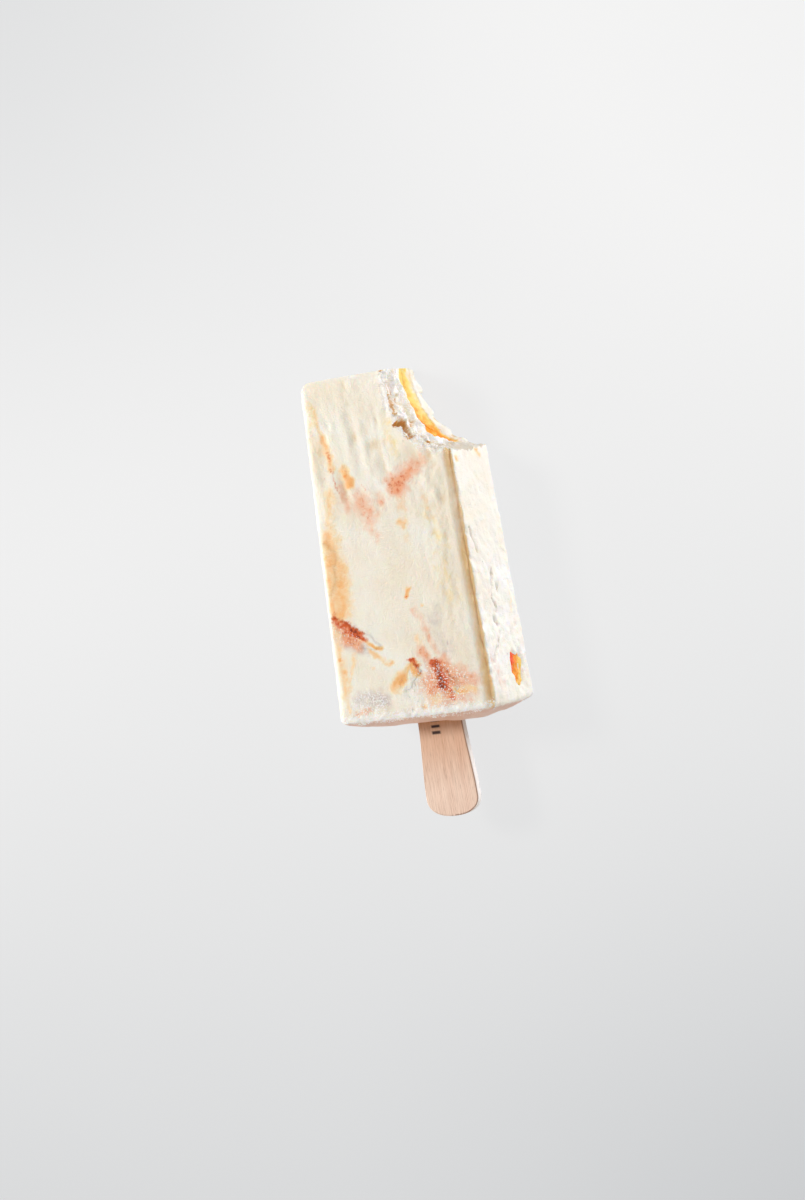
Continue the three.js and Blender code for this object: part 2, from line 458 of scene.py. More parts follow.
def frostAt(points):
    # where the front carries loose hoar: the stick end's rim, the lower left, round the low wedges
    x, y = points[:, 0], points[:, 1]
    rim = 1.4 * (1 - ramp(y, 1.2, 4.6))
    corner = 1 - ramp(np.hypot((x + 14) / 8, (y - 5.5) / 4), 0.6, 1.25)
    wedges = 0.82 * (1 - ramp(np.hypot((x - 9) / 14, (y - 8) / 8.5), 0.6, 1.2))
    streak = 0.62 * (1 - ramp(distanceToPath(points[:, :2], [(-23, 27.5), (-14, 22)]), 1.5, 4))
    return np.maximum.reduce([rim, corner, wedges, streak])


# the bite: its two edges as curves (x, y), then how far its wall goes in and out, mm. Along is
# measured on the wall from the tip, across from the front face to the back.
bite = {
    "front": [(4.8, 106), (5.2, 83), (4.4, 77), (29, 71.6)],
    "back": [(2, 106), (2.8, 88), (7.6, 73.6), (29, 72.2)],
    "lowest": 66,  # nothing of it lies lower than this y
    "touch": 0.12,  # a point this near to the wall is on it
    "over": 1.2,  # how far the cutting sheet stands out of both faces
    "hollow": 1.5,
    "strand": 2.3,  # torn strings of cream that run along the wall
    "lump": 0.6,
    "thread": 0.9,
    "lip": 0.65,  # steps that the teeth left in the back edge
    "tooth": 6.2,
    "sliceBed": 0.28,
    "floor": (24, 30),  # along: where the wall turns to the grainy floor
    "rows": 190,
    "columns": 106,
}
# hollows torn out of the wall: how far along it, how far across it, half sizes and depth, mm
bitePockets = {
    "big": (17.2, 3.6, 4.6, 2.7, 2.9),
    "small": (10.5, 3.4, 3.4, 1.5, 2.0),
    "middle": (9.5, 9.0, 4.4, 1.2, 1.5),
    "inner": (15.0, 10.5, 3.4, 1.2, 1.3),
    "low": (23.4, 4.2, 4.0, 2.6, 2.8),
    "underSlice": (21.5, 14.6, 3.6, 1.7, 1.6),
}


def bezier(points, part):
    a, b, c, d = [np.array(point, float) for point in points]
    s = part[:, None]
    t = 1 - s
    place = t**3 * a + 3 * t * t * s * b + 3 * t * s * s * c + s**3 * d
    slope = 3 * (t * t * (b - a) + 2 * t * s * (c - b) + s * s * (d - c))
    return place, slope / np.linalg.norm(slope, axis=1, keepdims=True)


def biteWall():
    # the wall as a sheet, with s along it and w across it, and a from 0 at the front to 1 at the back
    rows, columns = bite["rows"], bite["columns"]
    reach = mould["endThickness"] / 2 + bite["over"]
    part = np.linspace(0.0, 1, rows)
    depth = np.linspace(reach, -reach, columns)
    frontEdge, slope = bezier(bite["front"], part)
    backEdge, _ = bezier(bite["back"], part)
    inward = np.stack([slope[:, 1], -slope[:, 0]], 1)
    travel = np.concatenate([[0], np.cumsum(np.linalg.norm(np.diff(frontEdge, axis=0), axis=1))])
    travel -= np.interp(mould["length"], frontEdge[::-1, 1], travel[::-1])
    across = np.clip((reach - 1 - depth) / (2 * reach - 2), 0, 1)
    grids = np.meshgrid(travel, reach - bite["over"] - depth, indexing="ij")
    s, w = [grid.ravel() for grid in grids]
    a = np.tile(across, rows)
    flat = np.stack([s, w, 0 * s], 1)
    bent = flat + np.stack([0 * s, 1.3 * swell(flat, 7, 21), 0 * s], 1)
    floor = ramp(s, *bite["floor"])
    torn = 1 - ramp(w, 14.5, 17) * (1 - floor) - 0.75 * ramp(s, 25, 30)
    strand = 1 - 2.6 * np.abs(swell(bent, (9, 2.7, 1), 22))
    thin = 1 - 2.2 * np.abs(swell(bent, (5.5, 1.1, 1), 23))
    arch = bite["hollow"] * np.sin(np.pi * a) * (1 - 0.9 * floor)
    inwards = arch.copy()
    inwards -= bite["strand"] * torn * (0.62 * strand + 0.38 * thin)
    inwards -= bite["lump"] * torn * lumps(flat, (2.6, 2.0, 1), 24)
    inwards -= bite["thread"] * torn * (0.5 - np.abs(swell(bent, (3.4, 0.7, 1), 30)))
    inwards -= 0.2 * swell(flat, 0.7, 25) * (0.3 + 0.7 * torn)
    dug = 0 * s
    for middle, level, halfAlong, halfAcross, deep in bitePockets.values():
        slant = (w - level) - 0.12 * (s - middle)
        reachOut = np.hypot((s - middle) / halfAlong, slant / halfAcross)
        reachOut += 0.22 * swell(flat, 1.5, 26)
        dug = np.maximum(dug, deep * (1 - ramp(reachOut, 0.55, 1.15)))
    inwards += dug
    sliced = band(w, 15.6, 17.2, 21, 22.6) * (1 - ramp(s, 22.5, 25))
    inwards += bite["sliceBed"] * np.minimum(1.6 * sliced, 1)
    step = (s / bite["tooth"] + 0.35 + 0.1 * swell(flat, 4, 20)) % 1
    tooth = band(step, 0.0, 0.75, 0.8, 1.0)
    lip = ramp(w, 20.6, 22.4) * (1 - ramp(s, 26, 29))
    inwards -= lip * (0.25 + bite["lip"] * ramp(w, 22, 24.5) * (1.4 * tooth - 0.4))
    inwards -= lip * 0.25 * lumps(flat, (3, 2.4, 1), 27)
    inwards -= floor * (0.22 * swell(flat, 0.9, 28) + 0.3 * lumps(flat, (5, 3.4, 1), 29))
    inwards += floor * 0.35 * bump(w, 1, 12, 23)
    inwards -= floor * 0.5 * ramp(w, 21, 24) * ramp(s, 38, 43)
    fore, aft, inward = [np.repeat(line, columns, 0) for line in (frontEdge, backEdge, inward)]
    place = fore * (1 - a)[:, None] + aft * a[:, None] + inward * inwards[:, None]
    wall = np.column_stack([place, np.tile(depth, rows)])
    cavity = np.clip(0.5 + (inwards - arch) / 2.2, 0, 1)
    return wall, {"along": s, "across": w, "cavity": cavity, "dug": dug, "sliced": sliced}


def stripFaces(rows, columns):
    # the quads of a sheet of rows by columns points
    index = np.arange(rows * columns).reshape(rows, columns)
    loop = [index[:-1, :-1], index[1:, :-1], index[1:, 1:], index[:-1, 1:]]
    return np.stack(loop, -1).reshape(-1, 4)


def rimWalls(rows, columns):
    # the quads that join a sheet's edge to that of a second sheet, whose points follow its own
    index = np.arange(rows * columns).reshape(rows, columns)
    rim = np.concatenate([index[0, :], index[1:, -1], index[-1, -2::-1], index[-2:0:-1, 0]])
    after = np.roll(rim, -1)
    return np.stack([rim, after, after + index.size, rim + index.size], 1)


def cut(target, tool):
    # what is left of target without tool, as a mesh, with both scratch objects cleared away
    modifier = target.modifiers.new("cut", "BOOLEAN")
    modifier.operation = "DIFFERENCE"
    modifier.solver = "MANIFOLD"
    modifier.object = tool
    bpy.context.view_layer.update()
    graph = bpy.context.evaluated_depsgraph_get()
    mesh = bpy.data.meshes.new_from_object(target.evaluated_get(graph))
    for spare in (target, tool):
        bpy.data.objects.remove(spare)
    return mesh


def scratchObject(name, mesh):
    made = bpy.data.objects.new(name, mesh)
    scene.collection.objects.link(made)
    return made


def outward(mesh):
    # turns a closed mesh right side out when its signed volume is negative
    mesh.calc_loop_triangles()
    triangles = np.empty(len(mesh.loop_triangles) * 3, int)
    mesh.loop_triangles.foreach_get("vertices", triangles)
    a, b, c = pointsOf(mesh)[triangles.reshape(-1, 3)].transpose(1, 0, 2)
    if np.einsum("ij,ij->i", a, np.cross(b, c)).sum() < 0:
        mesh.flip_normals()


def cuttingBody(name, wall):
    # everything on the outer side of the bite's wall
    far = wall + np.array([40, 45, 0])
    quads = [wallFaces, wallFaces[:, ::-1] + len(wall), rimWalls(bite["rows"], bite["columns"])]
    body = scratchObject(name, meshFrom(name, np.concatenate([wall, far]), np.concatenate(quads)))
    outward(body.data)
    return body


wallPoints, wallNotes = biteWall()
wallFaces = stripFaces(bite["rows"], bite["columns"])
wallTree = BVHTree.FromPolygons(wallPoints.tolist(), wallFaces.tolist())
wallGrid = wallPoints.reshape(bite["rows"], bite["columns"], 3)
biteRim = [tuple(p) for p in wallGrid[20::5, 6, :2]]  # where the wall leaves the front face


def makeBlockMesh():
    lines = [
        stations(boxHalf[0], 10, 88, mould["edgeRadius"]),
        stations(boxHalf[1], 8, 186, mould["edgeRadius"]),
        stations(boxHalf[2], 10, 34, mould["edgeRadius"]),
    ]
    lattice, quads = latticeSkin(lines)
    cast, normal = castBlock(lattice)
    cast += normal * reliefAt(cast, normal)[:, None]
    whole = scratchObject("whole", meshFrom("whole", cast, quads))
    outward(whole.data)
    return cut(whole, cuttingBody("biteTool", wallPoints))


# Marbling: strokes of peach under and in the front face, (path, half width, softness, strength),
# places in mm from the middle of the stick end
marbling = {}
marbling["flesh"] = {
    "edgeSlice": ([(-20.4, 33), (-19.4, 40), (-19.3, 45)], 4.2, 2.6, 0.92),
    "edgeSliceMid": ([(-19.5, 46), (-19.5, 53)], 2.9, 2.8, 0.86),
    "edgeSliceTop": ([(-19.2, 53), (-18.6, 60), (-17.4, 66)], 1.0, 2.4, 0.7),
    "topStreak": ([(-18.4, 90), (-18.2, 86), (-17.5, 83), (-16.6, 79)], 0.5, 0.9, 0.75),
    "streak": ([(-17.4, 82), (-16.2, 77), (-15.2, 73)], 0.9, 1.0, 0.95),
    "streakBlob": ([(-11.4, 71.4), (-10.2, 67.8)], 1.5, 1.2, 1.15),
    "blushTrail": ([(6, 62), (6, 50)], 0.6, 1.8, 0.35),
    "trailBlob": ([(5.6, 54.6)], 1.0, 1.2, 1.0),
    "rightFaint": ([(13.4, 61), (13, 56)], 1.0, 2.2, 0.4),
    "rightSpot": ([(14, 58)], 0.5, 0.7, 0.7),
    "spot": ([(4.3, 36.6), (3.6, 34.4)], 0.7, 0.5, 1.0),
    "dot": ([(7.7, 31.7)], 0.3, 0.5, 1.0),
    "faintBlob": ([(5, 21.5)], 0.8, 1.6, 0.6),
    "bandTail": ([(-14, 24.2), (-10, 21.8), (-7.2, 20.7)], 0.7, 0.6, 1.0),
    "lowTail": ([(-11.5, 20.4), (-9, 18.4), (-6, 15.9), (-4.5, 16.4)], 0.35, 0.6, 0.8),
    "underBand": ([(-22.4, 27.4), (-21.4, 22.4)], 1.2, 1.6, 0.6),
    "leftBlob": ([(-22.2, 18.6)], 0.9, 0.9, 1.2),
    "leftBlobLow": ([(-21.1, 15)], 0.7, 0.9, 1.0),
    "leftColumn": ([(-22.0, 23), (-21.5, 15), (-21.6, 8)], 1.1, 2.0, 0.66),
    "leftLine": ([(-16.4, 19.8), (-17.3, 17.6), (-19.6, 12.7)], 0.4, 1.0, 0.62),
    "leftLineLow": ([(-19.6, 12.7), (-20.5, 9), (-21.4, 4)], 0.4, 1.0, 0.62),
    "leftFaint": ([(-11.7, 15.4)], 0.4, 0.8, 0.6),
    "wedge": ([(-4.4, 9.4), (-2.4, 11.2)], 1.6, 1.6, 1.02),
    "wedgeUpper": ([(-2.4, 11.4), (0, 13.6), (2.2, 15.4)], 0.9, 1.3, 1.0),
    "wedgeLimb": ([(2.4, 14.4), (3.0, 12.0)], 1.1, 0.9, 1.4),
    "rightWedge": ([(15, 6), (18, 6.3), (20.6, 6)], 0.8, 0.9, 0.9),
    "lowGrains": ([(8, 4.6)], 1.2, 1.2, 0.7),
    "rimSpot": ([(4, 2.6)], 0.7, 0.6, 0.9),
}
marbling["skin"] = {
    "band": ([(-18.6, 28.4), (-14.8, 25.6), (-12.2, 23.5)], 0.9, 1.0, 1.1),
    "bandStart": ([(-23.2, 30.8), (-18.6, 28.2)], 1.6, 1.2, 0.72),
    "wedgeEdge": ([(1.2, 16.4), (2.6, 15.8), (3.9, 12.6)], 0.45, 0.8, 1.0),
    "redWedge": ([(9.2, 14.6), (10, 12), (11, 8.4)], 1.6, 1.3, 1.25),
    "redBits": ([(12.6, 8.8), (13.2, 4)], 0.6, 1.0, 0.8),
    "streakCore": ([(-16.3, 78), (-15.8, 75.2)], 0.35, 0.5, 0.6),
    "streakLine": ([(-15.4, 73), (-15.1, 70), (-13.9, 65.4)], 0.25, 0.5, 0.6),
    "midMark": ([(14.2, 22.2), (13.8, 20.4), (14.3, 19.2)], 0.12, 0.4, 0.4),
    "blushCore": ([(6.4, 67.2), (8.6, 68.8)], 0.2, 0.9, 0.42),
    "spotCore": ([(3.3, 34.3)], 0.3, 0.4, 0.9),
    "speck": ([(-18, 70.5)], 0.2, 0.3, 0.8),
    "midSpeck": ([(-5.8, 57.7)], 0.2, 0.5, 0.4),
    "midCrack": ([(-6.1, 67.5), (-5.2, 65.1)], 0.1, 0.4, 0.45),
}
marbling["blush"] = {
    "underBand": ([(-23.4, 27.4), (-18.7, 25.6), (-15.2, 23.4)], 2.1, 1.9, 1.0),
    "streakFoot": ([(-13.2, 67), (-12.0, 62)], 1.4, 2.2, 0.55),
    "middle": ([(-7.4, 62.4), (-5.2, 58.6)], 2.8, 3.2, 0.6),
    "middleRight": ([(-0.6, 62)], 1.8, 2.4, 0.52),
    "middleTail": ([(-5, 55), (-3.5, 51.7)], 0.8, 1.8, 0.46),
    "centre": ([(5.2, 65.6), (8, 67.8)], 2.6, 2.8, 0.98),
    "centreUpper": ([(8, 67.8), (11.4, 70.4)], 2.0, 2.4, 0.85),
    "centreRight": ([(10.8, 69.8), (14, 72)], 1.6, 2.0, 0.6),
    "centreTail": ([(5.8, 62), (6.2, 59)], 0.8, 2.2, 0.4),
    "thread": ([(4.8, 30.5), (6.6, 27.3), (8.4, 23), (10.2, 17.8)], 0.5, 1.6, 0.5),
    "field": ([(7.5, 8.5), (12, 10.5), (18, 8)], 3.4, 3.4, 0.9),
    "fieldCore": ([(11.2, 13.6), (12.6, 6)], 2.2, 2.4, 1.2),
    "lowField": ([(7, 4), (16, 4)], 1.4, 2.2, 0.65),
    "leftSpecks": ([(-17.6, 2.6), (-14.6, 3.6)], 1.0, 1.2, 0.7),
    "betweenWedges": ([(5.6, 18), (7.4, 15), (7.6, 12)], 1.2, 1.6, 0.75),
}
marbling["mauve"] = {
    "underBand": ([(-21.6, 24.6), (-17, 23.0), (-13, 21.8)], 1.8, 2.0, 1.0),
    "patch": ([(-16.5, 6.6), (-9.4, 6.2)], 1.8, 2.4, 0.9),
    "clearPatch": ([(10.5, 27), (13, 18)], 1.8, 4.0, 0.5),
    "crack": ([(14.2, 22.4), (14, 19.4)], 0.2, 0.5, 1.3),
    "betweenWedges": ([(5.4, 16.6), (7.6, 12)], 0.8, 1.2, 0.6),
}
marbling["amber"] = {
    "sliceSpot": ([(-22.3, 50), (-22.3, 47.6)], 0.5, 0.9, 0.5),
    "sliceSpotLow": ([(-22.5, 41.6)], 0.5, 0.7, 0.45),
}
marbling["yolk"] = {
    "topLoop": ([(-19.6, 92), (-19.3, 86)], 0.6, 0.9, 0.7),
    "leftSoft": ([(-18, 67)], 0.6, 1.2, 0.5),
    "biteSide": ([(5, 83), (6.2, 75)], 1.2, 2.0, 0.5),
    "rightVeil": ([(15.8, 54), (16.5, 45), (17, 32)], 2.0, 4.0, 0.4),
    "wedge": ([(-4.6, 8.8), (-2.6, 10.2)], 1.0, 1.0, 0.9),
}
# the right face: (depth behind the middle plane, y)
sideMarbling = {
    "flesh": {
        "topWedge": ([(3.2, 72.4), (5, 70.4)], 0.5, 0.8, 0.8),
        "frontSpot": ([(-8.6, 70.6)], 0.8, 0.8, 0.7),
        "streak": ([(7.6, 34), (6.6, 25)], 0.2, 0.8, 0.4),
    },
    "mauve": {
        "low": ([(-9, 18), (-8, 5)], 1.6, 3.0, 0.35),
    },
    "blush": {
        "low": ([(-9, 14), (-6, 6)], 1.2, 2.6, 0.25),
    },
}


def strokeMask(flat, strokes):
    mask = np.zeros(len(flat))
    for path, halfWidth, softness, strength in strokes.values():
        away = distanceToPath(flat, path)
        inner, outer = halfWidth - 0.9 * softness, halfWidth + 1.25 * softness
        mask = np.maximum(mask, strength * (1 - ramp(away, inner, outer)))
    return mask


def marblingOf(points):
    # every look's strength at each point, from 0 to 1
    x, y, z = points.T
    swirl = np.stack([swell(points, 5, 31), swell(points, 5, 32)], 1) * 0.6
    curl = np.stack([swell(points, 1.7, 33), swell(points, 1.7, 34)], 1) * 0.7
    flat = points[:, :2] + swirl + curl
    side = sidePlace(points)
    wide, _ = taperAt(y)
    onFront = ramp(z, 3.5, 9.5) * (1 - 0.95 * ramp(-x / wide, 22.4, 24.8))
    patchy = 0.82 + 0.3 * swell(points, 2.6, 35)
    onSide = ramp(x, 19.5, 22.5) * (1 - ramp(z, 9.6, 11.2))
    looks = {}
    for look, strokes in marbling.items():
        looks[look] = strokeMask(flat, strokes) * onFront * patchy
        if look in sideMarbling:
            looks[look] = np.maximum(looks[look], strokeMask(side, sideMarbling[look]) * onSide)
    return looks


def setMasks(mesh, masks):
    for name, values in masks.items():
        layer = mesh.attributes.new(name, "FLOAT", "POINT")
        layer.data.foreach_set("value", np.asarray(values, np.float32))


def paintBlock(mesh):
    points = pointsOf(mesh)
    x, y, z = points.T
    masks = marblingOf(points)
    normal = normalsOf(mesh)
    near = [wallTree.find_nearest(Vector(p)) if p[1] > bite["lowest"] else None for p in points]
    onWall = np.array([1 - min(hit[3] / bite["touch"], 1) if hit else 0 for hit in near])
    corner = np.array([wallFaces[hit[2]][0] if hit else 0 for hit in near])
    along, across, cavity, dug, sliced = [wallNotes[key][corner] for key in wallNotes]
    outer = 1 - onWall
    for look in masks:
        masks[look] = masks[look] * outer
    # painted shade: the bite wall's grooves and torn pockets are tinted tan, more where they are deeper
    shadowed = np.clip(0.7 * ramp(cavity, 0.3, 0.58) + 0.35 * ramp(dug, 0.4, 2.2), 0, 1)
    masks["hollow"] = onWall * shadowed * (1 - sliced) * (1 - 0.8 * ramp(along, 26, 29))
    # painted shade: the bite's grainy floor is tinted a greyer beige
    masks["floor"] = onWall * ramp(along, *bite["floor"])
    # peach colour where the slice meets the wall, deepening lower down with painted glow of light
    # through the fruit
    beside = band(across, 15.4, 17.2, 20.8, 22.4) * (1 - ramp(along, 23.5, 27))
    masks["amber"] += onWall * beside * (0.5 + 0.4 * ramp(along, 6, 20))
    # painted glow: a vivid orange spot at the low end of the slice's band, by the bite's floor
    masks["amber"] += onWall * 0.35 * bump(along, 22, 26, 30) * bump(across, 14, 19, 23)
    loose = np.maximum(frostAt(points), 1.1 * crumbsAt(points))
    masks["frost"] = loose * ramp(normal[:, 2], 0.2, 0.7) * outer
    # painted light: the raised strings of the bite wall are whitened, sharing the hoar frost's white
    masks["frost"] += 1.3 * onWall * (1 - ramp(cavity, 0.12, 0.46)) * (1 - ramp(across, 14, 17))
    turn = turnAt(points)
    # painted shade: a tan band along the front right edge, where it turns between the front and the
    # right face, unevenly strong
    shadeStrength = 0.85 + 0.3 * swell(points, (4, 9, 4), 36) + 0.3 * bump(y, 15, 33, 52)
    masks["strip"] = band(turn, -12, 52, 58, 64) * (z > 0) * outer * shadeStrength
    # painted shade: the front face's low places between its ridges and lumps are tinted darker tan
    masks["dip"] = ramp(-frontHeight(points), 0.0, 0.42) * ramp(normal[:, 2], 0.5, 0.9) * outer
    side = sidePlace(points)
    away = np.min([distanceToPath(side, path) for path in sideCracks.values()], axis=0)
    # painted shade: the thin cracks in the right face are tinted grey-mauve
    crackShade = 0.7 * (1 - ramp(away, 0.1, 0.7)) * (x > 20) * (z < 9) * outer
    masks["mauve"] = np.maximum(masks["mauve"], crackShade)
    # the stick end's face is tinted pinkish tan: partly pink from the peach in the mix, partly painted
    # shade
    masks["endFace"] = (1 - ramp(y, -0.6, 0.9)) * ramp(-normal[:, 1], 0.35, 0.8)
    setMasks(mesh, masks)


print("bite and marbling ready")

# Frozen dairy mix, cast in a mould: opaque white-cream with a soft glow under the skin, a waxy satin
# surface where it touched the mould and matt hoar grains where it did not.
creamColours = {"base": "f4ebd9", "light": "fbf6ec", "clear": "e6e0d3"}


def creamTree(name, roughness=0.42, glow=0.55, wet=0.0):
    # one recipe for the block and the fruit in it, so that their colours meet
    material, add = newMaterial(name)
    clouds = add("MapRange", {"Value": pattern(add, 14, 3), "From Min": 0.2, "From Max": 0.9})
    veins = add("MapRange", {"Value": pattern(add, 5, 3, 3), "From Min": 0.6, "From Max": 0.95})
    colour = coat(add, clouds, fromHex(creamColours["base"]), creamColours["light"])
    colour = coat(add, veins, colour, creamColours["clear"], 0.35)
    grain, crumbs, fine = pattern(add, 0.9), pattern(add, 1.8, 3), pattern(add, 0.45, 1)
    # coats from the lowest up: look, tint, the pattern that roughens its outline and how far, between
    # which strengths it comes in, and how much it hides if not all
    coats = {
        # painted shade in the front face's low places
        "dip": ("dip", "e8d3ab", crumbs, 0.3, 0.0, 1.0, 0.8),
        "yolk": ("yolk", "fbdc90", crumbs, 0.5, 0.05, 1.0),
        # grey-mauve marbling, and painted shade in the right face's cracks
        "mauve": ("mauve", "d4c9c5", crumbs, 0.4, 0.0, 1.0),
        "blush": ("blush", "f4b28a", crumbs, 0.3, 0.0, 0.8),
        "blushDeep": ("blush", "de7c4e", grain, 1.0, 0.65, 1.3),
        "fleshPale": ("flesh", "ffe0b8", crumbs, 0.4, 0.0, 0.6),
        "flesh": ("flesh", "febb76", crumbs, 0.3, 0.35, 1.0),
        "fleshDeep": ("flesh", "ec8632", grain, 0.7, 0.95, 1.5),
        # peach colours; in the bite they also carry painted glow
        "amberPale": ("amber", "ffd36a", crumbs, 0.3, 0.0, 0.5),
        "amber": ("amber", "fa9408", crumbs, 0.5, 0.4, 1.0),
        "ember": ("ember", "fb4800", crumbs, 0.5, 0.2, 0.9),
        "skin": ("skin", "d85f22", grain, 0.5, 0.1, 0.75),
        "skinDark": ("skin", "8a2c0a", grain, 0.9, 0.75, 1.35),
        # painted shade along the front right edge
        "strip": ("strip", "ecc992", crumbs, 0.25, 0.0, 1.0),
        # painted shade: greyer beige on the bite's floor
        "floor": ("floor", "dcd2c0", grain, 0.5, 0.2, 1.0),
        # painted shade: tan in the bite's grooves and pockets, and at the slice's inner edge
        "hollow": ("hollow", "daaa66", crumbs, 0.4, 0.1, 1.0),
        # pinkish tan of the stick end's face, partly painted shade
        "endFace": ("endFace", "e6bda6", crumbs, 0.4, 0.1, 0.9),
        # white hoar frost, and painted light on the raised strings of the bite wall
        "frost": ("frost", "fffdfa", fine, 1.5, 0.9, 1.35, 0.85),
    }
    for look, tint, rough, spread, low, high, *hides in coats.values():
        # the pattern eats into the look's outline, and does nothing where the look is absent
        value = add("Attribute", attribute_name=look).outputs["Fac"]
        rough = add("Math", {0: rough, 1: 0.5}, operation="SUBTRACT")
        rough = add("Math", {0: rough, 1: spread}, operation="MULTIPLY")
        there = add("Math", {0: value, 1: 6.0}, operation="MULTIPLY", use_clamp=True)
        total = add("Math", {0: rough, 1: there, 2: value}, operation="MULTIPLY_ADD")
        links = {"Value": total, "From Min": low, "From Max": high}
        share = add("MapRange", links, interpolation_type="SMOOTHSTEP")
        colour = coat(add, share, colour, tint, *hides)
    height = add("Math", {0: grain, 1: fine}, operation="ADD")
    rough = {"Value": crumbs, "To Min": roughness - 0.12, "To Max": roughness + 0.14}
    links = {
        "Base Color": colour,
        "Roughness": add("MapRange", rough),
        "IOR": 1.35,
        "Subsurface Weight": glow,
        "Subsurface Radius": (1.0, 0.72, 0.5),
        "Subsurface Scale": 0.0022,
        "Coat Weight": wet,
        "Coat Roughness": 0.08,
        "Normal": add("Bump", {"Height": height, "Strength": 0.5, "Distance": 0.00012}),
    }
    shader = add("BsdfPrincipled", links, subsurface_method="RANDOM_WALK")
    add("OutputMaterial", {"Surface": shader})
    return material


frozenCream = creamTree("frozenCreamCast")
# Peach frozen with a film of juice on it: a little glossier than the cream, so it glints.
peachFlesh = creamTree("peachFleshFrozenWet", roughness=0.34, wet=0.15)
# Its skin, dulled by hoar: matt, with less glow, so it reads as a dark rind.
peachSkin = creamTree("peachSkinFrosted", roughness=0.5, glow=0.4)
# The chunk in the side has thawed on top: juicy gloss with sharp highlights and deep colour.
peachJuice = creamTree("peachFleshThawedJuicy", roughness=0.26, glow=0.25, wet=0.4)

blockMesh = makeBlockMesh()
paintBlock(blockMesh)
castPoints = pointsOf(blockMesh)  # still in millimetres
addPiece("iceBlock", blockMesh, frozenCream, "ice_block")


def ballGrid(rows, columns):
    # a ball of quads, closed by a fan of triangles at each pole
    polar = np.linspace(0, np.pi, rows + 2)[1:-1]
    around = np.linspace(0, 2 * np.pi, columns, endpoint=False)
    p, r = np.meshgrid(polar, around, indexing="ij")
    points = np.stack([np.sin(p) * np.cos(r), np.sin(p) * np.sin(r), np.cos(p)], -1)
    points = np.concatenate([points.reshape(-1, 3), [[0, 0, 1], [0, 0, -1]]])
    top, bottom = rows * columns, rows * columns + 1
    index = np.arange(rows * columns).reshape(rows, columns)
    after = np.roll(index, -1, 1)
    sides = np.stack([index[:-1], index[1:], after[1:], after[:-1]], -1).reshape(-1, 4).tolist()
    caps = [[top, a, b] for a, b in zip(index[0].tolist(), after[0].tolist())]
    caps += [[bottom, b, a] for a, b in zip(index[-1].tolist(), after[-1].tolist())]
    return points, sides + caps


def bringToSkin(points, liftAt):
    # what stands out of the cast block comes down to its skin, and liftAt of its place above that
    wide, thick = taperAt(points[:, 1])
    scale = np.stack([wide, 1 + 0 * wide, thick], 1)
    middle = np.array([0, boxHalf[1], 0])
    plain = points / scale - middle
    core = np.clip(plain, -innerHalf, innerHalf)
    away = np.linalg.norm(plain - core, axis=1)
    normal = (plain - core) / np.maximum(away, 1e-6)[:, None]
    skin = (core + normal * mould["edgeRadius"] + middle) * scale
    raised = reliefAt(skin, normal) + liftAt(skin)
    standsOut = away > mould["edgeRadius"] + raised
    return np.where(standsOut[:, None], skin + normal * raised[:, None], points)


def placeFruit(ball, fruit):
    # a shaped ball to the piece's place in the mould, and the turn that took it there
    turnY, turnZ = [math.radians(angle) for angle in fruit["turn"]]
    turn = np.array(Matrix.Rotation(turnY, 3, "Y") @ Matrix.Rotation(turnZ, 3, "Z"))
    return ball @ turn.T + np.array(fruit["at"]), turn


# Pieces of peach in the cast skin: middle and half sizes in mm as in the CAD, turned about y and z in
# degrees. Each stands so far out of the cream, has so ragged an outline, and sinks in from so far out,
# over so much of its size.
fruits = {
    "peachFleshEdge": {
        "at": (-22.2, 44.5, 11.2), "half": (7.2, 14.5, 5.4), "turn": (-28, -9),
        "stands": 0.02, "ragged": 0.15, "sinks": 0.4, "over": 0.6,
        "surface": peachFlesh, "solid": "peach_flesh_edge", "slot": "peach_flesh",
    },
    "peachWedgeOrange": {
        "at": (0.2, 11.6, 12.6), "half": (6.4, 2.6, 4.2), "turn": (0, 38),
        "stands": 0.16, "ragged": 0.5, "sinks": 0.65, "over": 0.3,
        "surface": peachFlesh, "solid": "peach_wedge_orange", "slot": "peach_flesh",
    },
    "peachChunkSide": {
        "at": (25.4, 9.4, -4.4), "half": (3.4, 6.2, 3.6), "turn": (0, 4),
        "stands": 0.2, "ragged": 0.2, "sinks": 0.86, "over": 0.2,
        "surface": peachJuice, "solid": "peach_chunk_side", "slot": "peach_flesh",
    },
    "peachSkinEdge": {
        "at": (-16.2, 25.6, 12.2), "half": (10.6, 2.7, 3.4), "turn": (-6, -33),
        "stands": 0.1, "ragged": 0.25, "sinks": 0.7, "over": 0.3,
        "surface": peachSkin, "solid": "peach_skin_edge", "slot": "peach_skin",
    },
    "peachWedgeRed": {
        "at": (12.2, 9.9, 12.6), "half": (5.6, 2.3, 4.0), "turn": (0, -58),
        "stands": 0.14, "ragged": 0.3, "sinks": 0.7, "over": 0.3,
        "surface": peachSkin, "solid": "peach_wedge_red", "slot": "peach_skin",
    },
}


